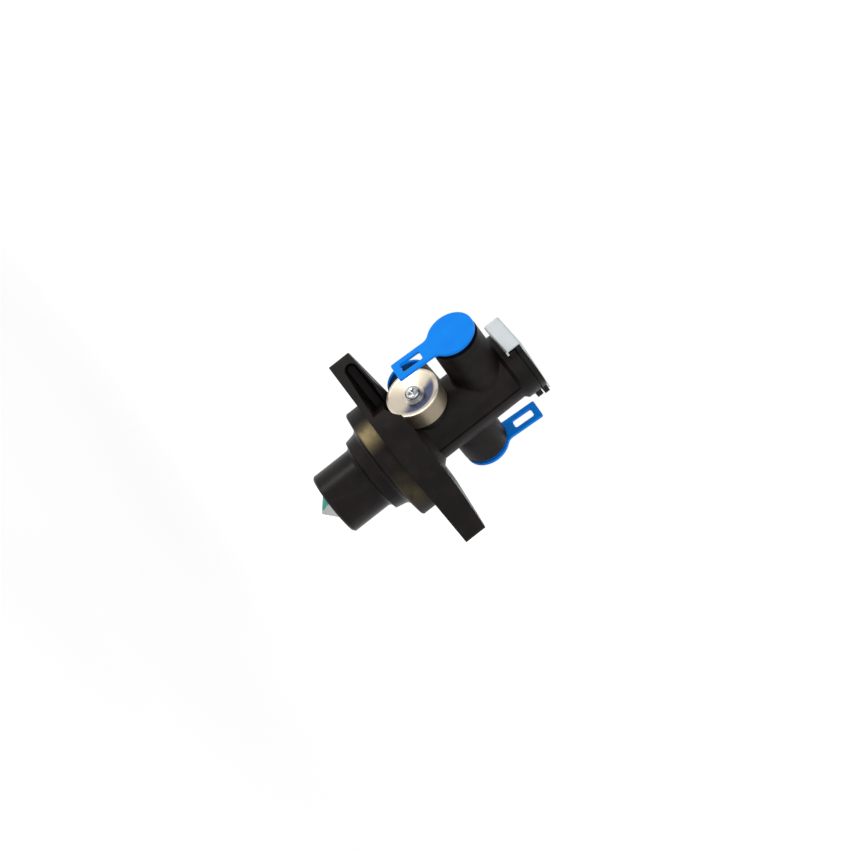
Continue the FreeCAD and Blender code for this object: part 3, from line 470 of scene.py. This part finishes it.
cap = new_cylinder("port_cap", CAP_COLLAR, 0, HEAD_LOW + OVERLAP)
bpy.ops.object.mode_set(mode="EDIT")
pick(cap, "FACE", facing((0, 0, -1)))
bpy.ops.mesh.inset(thickness=(CAP_COLLAR - CAP_SHANK) * MM)
for drop in (LEAD_IN - SHANK_LENGTH, -LEAD_IN):
    bpy.ops.mesh.extrude_region_move(TRANSFORM_OT_translate={"value": (0, 0, drop * MM)})
bpy.ops.transform.resize(value=(0.965, 0.965, 1))
bpy.ops.mesh.inset(thickness=CAP_WALL * MM)
bpy.ops.mesh.extrude_region_move(TRANSFORM_OT_translate={"value": (0, 0, SHANK_LENGTH * MM)})
bpy.ops.object.mode_set(mode="OBJECT")
print("cap plug faces:", len(cap.data.polygons))

# %% Port cap: head, neck, tab and slot
TAB_REACH, TAB_HALF, TAB_CORNER, NECK_RADIUS = 32.4, 5.7, 1.0, 5.0
SLOT_NEAR, SLOT_FAR, SLOT_HALF = 17.3, 28.7, 2.9
CUTTER_LOW, CUTTER_HIGH = HEAD_LOW - 1.4, HEAD_HIGH + 2.0


def is_outer_corner(edge):
    """An upright edge on the half of the tab that is away from the cap."""
    upright = abs(edge.verts[0].co.z - edge.verts[1].co.z) > 1 * MM
    return upright and max(vert.co.x for vert in edge.verts) > 15 * MM


head = new_cylinder("cap_head", CAP_RADIUS, HEAD_LOW, HEAD_HIGH)
neck_y = TAB_HALF + NECK_RADIUS
neck_x = math.sqrt((CAP_RADIUS + NECK_RADIUS) ** 2 - neck_y ** 2)
touch_y = neck_y * CAP_RADIUS / (CAP_RADIUS + NECK_RADIUS)
combine(head, new_block("cap_neck", 6, neck_x, touch_y, HEAD_LOW, HEAD_HIGH), "UNION")
for way in (-1, 1):
    hollow = new_cylinder("neck_cutter", NECK_RADIUS, CUTTER_LOW, CUTTER_HIGH, 72,
                          (neck_x, way * neck_y))
    combine(head, hollow, "DIFFERENCE")
tab = new_block("cap_tab", 8, TAB_REACH, TAB_HALF, HEAD_LOW, HEAD_HIGH)
slot_cutter = new_block("slot_cutter", SLOT_NEAR, SLOT_FAR, SLOT_HALF, CUTTER_LOW, CUTTER_HIGH)
for piece in (tab, slot_cutter):
    only(piece)
    bpy.ops.object.mode_set(mode="EDIT")
    pick(piece, "EDGE", is_outer_corner)
    bpy.ops.mesh.bevel(offset=TAB_CORNER * MM, segments=5, affect="EDGES")
    bpy.ops.object.mode_set(mode="OBJECT")
combine(tab, slot_cutter, "DIFFERENCE")
combine(head, tab, "UNION")
combine(cap, head, "UNION")
apply_modifier(cap, "BEVEL", width=0.28 * MM, segments=2, limit_method="ANGLE",
               angle_limit=math.radians(40), harden_normals=True)
bpy.ops.object.shade_smooth_by_angle(angle=math.radians(35))
apply_modifier(cap, "WEIGHTED_NORMAL", keep_sharp=True)
print("cap triangles:", triangles(cap))

# %% [markdown]
# Polyethylene is one flat, strong colour with a waxy shine. What keeps it from looking painted
# is a very shallow unevenness and slightly whitened, thinner stretches, which noise gives.

# %% Caps: finish and places
blue = Finish("moulded_blue_plastic")
wax = blue.grain(7 * MM, 2.0)
pores = blue.grain(0.5 * MM, 2.0)
blue.set(
    Base_Color=blue.blend(wax, (0.0, 0.225, 0.90), (0.0, 0.290, 1.0)),
    Roughness=0.44 + 0.14 * pores,
    Specular_IOR_Level=0.12,
)
blue.relief(pores + 2 * wax, 0.02 * MM)

TILT_1, TILT_2 = math.radians(3.2), math.radians(4.4)
PORTS = {  # outward direction, the tab's direction, middle of the port's mouth in millimetres
    1: ((0, -1, 0), (-math.sin(TILT_1), 0, -math.cos(TILT_1)), (0, -40.3, 56.5)),
    2: ((0, 1, 0), (math.sin(TILT_2), 0, math.cos(TILT_2)), (0, 32.8, 38.2)),
    3: ((-1, 0, 0), (0, 1, 0), (-32.6, 0, 27.2)),
}
for number, (outward, tab_way, mouth) in PORTS.items():
    name = f"port_{number}_cap"
    piece = cap.copy()
    piece.data = cap.data.copy()
    piece.name = f"moulded_cap_{number}"
    bpy.context.scene.collection.objects.link(piece)
    seat(piece, name, outward, tab_way, mouth, blue)
    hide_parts(name)
    low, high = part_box(name)
    own_low, own_high = (
        Vector([pick_end(vertex.co[axis] for vertex in piece.data.vertices) for axis in range(3)])
        for pick_end in (min, max))
    off = max((own_low - low).length, (own_high - high).length)
    print(name, "off its CAD box by", round(off / MM, 2), "mm")
bpy.data.objects.remove(cap)

# %% [markdown]
# Behind each cap the port is threaded for a pipe fitting. A thread is a small section carried
# round and up: a three-sided circle stands beside the bore, and the Screw modifier turns it.
# The CAD bore is drawn at the thread's crests, so the ridge stands only slightly proud.

# %% Port threads
THREAD_PITCH, THREAD_RADIUS, THREAD_LOW, THREAD_TURNS = 1.5, 7.19, -14.6, 5
RIDGE_RADIUS, RIDGE_OFFSET = 0.42, 0.12

for number, (outward, tab_way, mouth) in PORTS.items():
    bpy.ops.mesh.primitive_circle_add(
        vertices=3, radius=RIDGE_RADIUS * MM, fill_type="NOTHING",
        rotation=(math.pi / 2, 0, -math.pi / 2),
        location=((THREAD_RADIUS + RIDGE_OFFSET) * MM, 0, THREAD_LOW * MM))
    ridge = named(f"port_{number}_thread")
    apply_modifier(ridge, "SCREW", screw_offset=THREAD_PITCH * MM, iterations=THREAD_TURNS,
                   steps=56, render_steps=56, use_merge_vertices=True)
    bpy.ops.object.mode_set(mode="EDIT")
    bpy.ops.mesh.select_all(action="SELECT")
    bpy.ops.mesh.normals_make_consistent(inside=False)
    bpy.ops.object.mode_set(mode="OBJECT")
    bpy.ops.object.shade_smooth_by_angle(angle=math.radians(35))
    seat(ridge, "valve_body", outward, tab_way, mouth, coated)
print("thread ridges:", len(PORTS), "of", THREAD_TURNS, "turns, pitch", THREAD_PITCH, "mm")

# %% [markdown]
# The return spring stands between its seat, which moves with the plunger, and the end cover,
# which doesn't. Here it is drawn again as one rigid coil over the CAD spring's length, and rides
# on neither body. The Screw modifier works here too, with a round section whose end holes are
# filled afterwards.

# %% Return spring
SPRING_RADIUS, WIRE_RADIUS, SPRING_TURNS = 5.3, 0.7, 6
spring_low, spring_high = (corner.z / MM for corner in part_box("return_spring"))
climb = spring_high - spring_low - 2 * WIRE_RADIUS

bpy.ops.mesh.primitive_circle_add(
    vertices=16, radius=WIRE_RADIUS * MM, fill_type="NOTHING", rotation=(math.pi / 2, 0, 0),
    location=(SPRING_RADIUS * MM, 0, (spring_low + WIRE_RADIUS) * MM))
coil = named("coil_spring")
apply_modifier(coil, "SCREW", screw_offset=climb / SPRING_TURNS * MM, iterations=SPRING_TURNS,
               steps=48, render_steps=48, use_merge_vertices=True)
bpy.ops.object.mode_set(mode="EDIT")
bpy.ops.mesh.select_all(action="SELECT")
bpy.ops.mesh.fill_holes(sides=0)
bpy.ops.mesh.normals_make_consistent(inside=False)
bpy.ops.object.mode_set(mode="OBJECT")
bpy.ops.object.shade_smooth_by_angle(angle=math.radians(40))
coil.data.materials.append(wire.material)
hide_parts("return_spring")
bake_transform(coil)
print("spring from", round(spring_low, 1), "to", round(spring_high, 1), "mm")

# %% [markdown]
# The vent's cover is a pressed dish of pale passivated metal. It starts as a flat disc: the
# outer face is inset to leave a flat rim, inset again to the flat centre, and that centre is
# pulled inwards. The back follows, and a hole joins the two.

# %% Vent cover: pressed dish
DISC_RADIUS, DISC_SHEET, DISH = 14.1, 0.8, 2.4
DISC_RIM, DISC_SLOPE, DISC_LAND = 1.6, 7.3, 3.05
RIM_LOW = 27.6

disc = new_cylinder("vent_dish", DISC_RADIUS, RIM_LOW, RIM_LOW + DISC_SHEET, 128)
bpy.ops.object.mode_set(mode="EDIT")
for way, level in ((1, RIM_LOW + DISC_SHEET), (-1, RIM_LOW)):
    pick(disc, "FACE", facing((0, 0, way), level))
    bpy.ops.mesh.inset(thickness=DISC_RIM * MM)
    bpy.ops.mesh.inset(thickness=DISC_SLOPE * MM)
    bpy.ops.transform.translate(value=(0, 0, -DISH * MM))
    bpy.ops.mesh.inset(thickness=DISC_LAND * MM)
    pick(disc, "FACE",
         lambda face, centre=level - DISH: len(face.verts) > 40 and at_height(face, centre))
    bpy.ops.mesh.delete(type="ONLY_FACE")
pick(disc, "EDGE", lambda edge: edge.is_boundary)
bpy.ops.mesh.bridge_edge_loops()
bpy.ops.object.mode_set(mode="OBJECT")
apply_modifier(disc, "BEVEL", width=0.35 * MM, segments=3, limit_method="ANGLE",
               angle_limit=math.radians(15))
bpy.ops.object.shade_smooth_by_angle(angle=math.radians(50))
print("dish triangles:", triangles(disc))

# %% [markdown]
# Spun and pressed metal shines differently across its brushing than along it. On the dish the
# brush went round the screw, so the noise depends on the distance from it alone. On the skirt
# the noise is stretched along the valve's Y axis. One side of the dish is painted with a dark
# bluish shade, for the side that faces away from the light. Its mask is the direction from the
# screw, held between two distances from it.

# %% Vent cover: finishes
VENT_HEIGHT = 24.7
SHADE_START, SHADE_END = (4.6 * MM, 6.0 * MM), (10.6 * MM, 12.4 * MM)

dish = Finish("pale_passivated_sheet")
x, y, z = dish.axes()
vx, vz = x, z - VENT_HEIGHT * MM
spread = (vx * vx + vz * vz) ** 0.5
round_brush = dish.grain(0.25 * MM, 2.0, dish.add("ShaderNodeCombineXYZ", None, {"X": spread}))
patch = dish.grain(5 * MM, 3.0)
# Painted shade: a dark bluish wedge on the side of the dish that faces away from the light
away = (vx * 0.96 + vz * 0.27) / (spread + 0.3 * MM) + (patch - 0.5) * 0.3
painted_shade = dish.fade(away, 0.05, 0.55) * dish.fade(spread, *SHADE_START)
painted_shade = painted_shade * (1 - dish.fade(spread, *SHADE_END))
dish.set(
    Base_Color=dish.blend(painted_shade, dish.blend(patch, (0.58, 0.50, 0.39), (0.70, 0.62, 0.50)),
                          (0.085, 0.100, 0.180)),
    Metallic=0.72,
    Roughness=0.26 + 0.12 * round_brush,
)
dish.relief(round_brush, 0.012 * MM)

brushed = Finish("brushed_skirt")
x, y, z = brushed.axes()
lengthways = brushed.add("ShaderNodeCombineXYZ", None, {"X": x, "Y": y * 0.08, "Z": z})
hairs = brushed.grain(0.22 * MM, 3.0, lengthways)
mottle = brushed.grain(3 * MM, 2.0)
brushed.set(
    Base_Color=brushed.blend(hairs, (0.24, 0.20, 0.14), (0.43, 0.37, 0.27)),
    Metallic=0.80,
    Roughness=0.34 + 0.16 * mottle,
)
brushed.relief(hairs, 0.02 * MM)
dress(brushed, "vent_skirt")
seat(disc, "valve_body", (0, -1, 0), (1, 0, 0), (0, 0, VENT_HEIGHT), dish)
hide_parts("vent_disc")

# %% [markdown]
# The vent screw is a pan-head machine screw. Its head is a short cylinder whose top edge is
# bevelled in six steps, which is how a pan head curves, and the cross recess is cut by two
# blocks that narrow towards the bottom.

# %% Vent screw
HEAD_RADIUS, HEAD_SEAT, HEAD_TOP, HEAD_ROUND = 4.0, 26.8, 29.4, 1.5
SHANK_RADIUS, SHANK_END, POINT = 2.0, 12.9, 0.4
RECESS_HALF, RECESS_WIDTH_HALF, RECESS_DEPTH = 2.4, 0.62, 1.8
RECESS_TURN = math.radians(20)

screw = new_cylinder("vent_pan_screw", HEAD_RADIUS, HEAD_SEAT, HEAD_TOP, 64)
bpy.ops.object.mode_set(mode="EDIT")
pick(screw, "EDGE", lambda edge: min(v.co.z for v in edge.verts) > (HEAD_TOP - 0.1) * MM)
bpy.ops.mesh.bevel(offset=HEAD_ROUND * MM, segments=6, affect="EDGES", profile=0.55)
pick(screw, "FACE", facing((0, 0, -1), HEAD_SEAT))
bpy.ops.mesh.inset(thickness=(HEAD_RADIUS - SHANK_RADIUS) * MM)
for drop in (SHANK_END + POINT - HEAD_SEAT, -POINT):
    bpy.ops.mesh.extrude_region_move(TRANSFORM_OT_translate={"value": (0, 0, drop * MM)})
bpy.ops.transform.resize(value=(0.8, 0.8, 1))
bpy.ops.object.mode_set(mode="OBJECT")
for turned_by in (0, math.pi / 2):
    blade = new_block("recess_blade", -RECESS_HALF, RECESS_HALF, RECESS_WIDTH_HALF,
                      HEAD_TOP - RECESS_DEPTH, HEAD_TOP + 0.5)
    bpy.ops.object.mode_set(mode="EDIT")
    pick(blade, "FACE", facing((0, 0, -1)))
    bpy.ops.transform.resize(value=(0.45, 0.7, 1))
    bpy.ops.object.mode_set(mode="OBJECT")
    blade.data.transform(Matrix.Rotation(turned_by + RECESS_TURN, 4, "Z"))
    combine(screw, blade, "DIFFERENCE")
apply_modifier(screw, "BEVEL", width=0.09 * MM, segments=2, limit_method="ANGLE",
               angle_limit=math.radians(40))
bpy.ops.object.shade_smooth_by_angle(angle=math.radians(35))

plated = Finish("plated_steel")
smear = plated.grain(1.2 * MM, 3.0)
plated.set(
    Base_Color=plated.blend(smear, (0.30, 0.32, 0.32), (0.58, 0.59, 0.59)),
    Metallic=0.95,
    Roughness=0.20 + 0.16 * smear,
)
plated.relief(smear, 0.01 * MM)
dress(plated, "vent_washer")
seat(screw, "valve_body", (0, -1, 0), (1, 0, 0), (0, 0, VENT_HEIGHT), plated)
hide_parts("vent_screw")
print("screw triangles:", triangles(screw))

# %% [markdown]
# The picture's ground is plain white. A floor lies level, a tenth of a metre below the valve.
# To a lit pale surface its material adds some light that only the camera, reflections and
# transmission see, and more of it far from the valve, so that the floor looks white and keeps a
# soft shadow. The world is white to the same rays, and lights the part evenly at half of full
# strength.

# %% Floor and world
def seen_directly(tree):
    """1 for what the camera, a mirror or glass sees, 0 for light that falls on the part."""
    path = tree.nodes.new("ShaderNodeLightPath")
    total = path.outputs["Is Camera Ray"]
    for ray in ("Is Glossy Ray", "Is Transmission Ray"):
        either = tree.nodes.new("ShaderNodeMath")
        either.operation = "MAXIMUM"
        tree.links.new(total, either.inputs[0])
        tree.links.new(path.outputs[ray], either.inputs[1])
        total = either.outputs[0]
    return total


FLOOR_DROP = 0.10
GLOW_NEAR, GLOW_FAR = 0.32, 0.66
EVEN_LIGHT = 0.50

bpy.ops.mesh.primitive_plane_add(size=12, location=(0, 0, cad_box[0][2] - FLOOR_DROP))
floor = named("floor")
ground = Finish("pale_floor")
ground.set(Base_Color=(0.9, 0.9, 0.9, 1.0), Roughness=0.9, Specular_IOR_Level=0.1)
x, y, z = ground.axes()
far_off = ground.fade((x * x + y * y) ** 0.5, 0.25, 1.1)
glow = ground.add("ShaderNodeEmission", None, {
    "Color": (1.0, 1.0, 1.0, 1.0),
    "Strength": Signal(ground, seen_directly(ground.tree))
    * (GLOW_NEAR + (GLOW_FAR - GLOW_NEAR) * far_off),
})
surface = ground.add("ShaderNodeAddShader", None, {
    0: Signal(ground, ground.shader.outputs[0]),
    1: glow,
})
ground.feed(ground.tree.nodes["Material Output"].inputs["Surface"], surface)
floor.data.materials.append(ground.material)

world = bpy.data.worlds.new("soft_white")
world.use_nodes = True
bpy.context.scene.world = world
sky = world.node_tree.nodes["Background"]
level = world.node_tree.nodes.new("ShaderNodeMapRange")
world.node_tree.links.new(seen_directly(world.node_tree), level.inputs["Value"])
level.inputs["To Min"].default_value = EVEN_LIGHT
level.inputs["To Max"].default_value = 1.0
sky.inputs["Color"].default_value = (1.0, 1.0, 1.0, 1.0)
world.node_tree.links.new(level.outputs[0], sky.inputs["Strength"])
print("floor at", round(floor.data.vertices[0].co.z / MM, 1), "mm, even light", EVEN_LIGHT)

# %% [markdown]
# Three soft lamps do the rest. The first is a narrow upright strip on port 1's side, low enough
# to be level with the nose, because an upright cylinder shows a highlight only where a lamp
# stands level with it. The second fills the camera's side, and the third the back. A lamp's
# effect falls with the square of its distance, so each prints what reaches the valve.

# %% Lamps
LIT_POINT = Vector((0, 0, 0.015))


def soft_lamp(name, place, width, height, power):
    """A soft box that faces the valve, with its long side upright."""
    lamp = bpy.data.lights.new(name, "AREA")
    lamp.shape = "RECTANGLE"
    lamp.size = width
    lamp.size_y = height
    lamp.energy = power
    stand = bpy.data.objects.new(name, lamp)
    bpy.context.scene.collection.objects.link(stand)
    aim = LIT_POINT - Vector(place)
    turned = aim.to_track_quat("-Z", "Y").to_matrix().to_4x4()
    stand.matrix_world = Matrix.Translation(place) @ turned
    print(name, "gives", round(power / (math.pi * aim.length) ** 2, 2), "of full light")


soft_lamp("strip_lamp", (-0.30, -0.72, -0.02), 0.07, 0.24, 1.35)
soft_lamp("fill_lamp", (0.66, -0.40, 0.34), 0.6, 0.6, 2.1)
soft_lamp("back_lamp", (-0.30, 0.70, 0.45), 0.7, 0.7, 1.9)
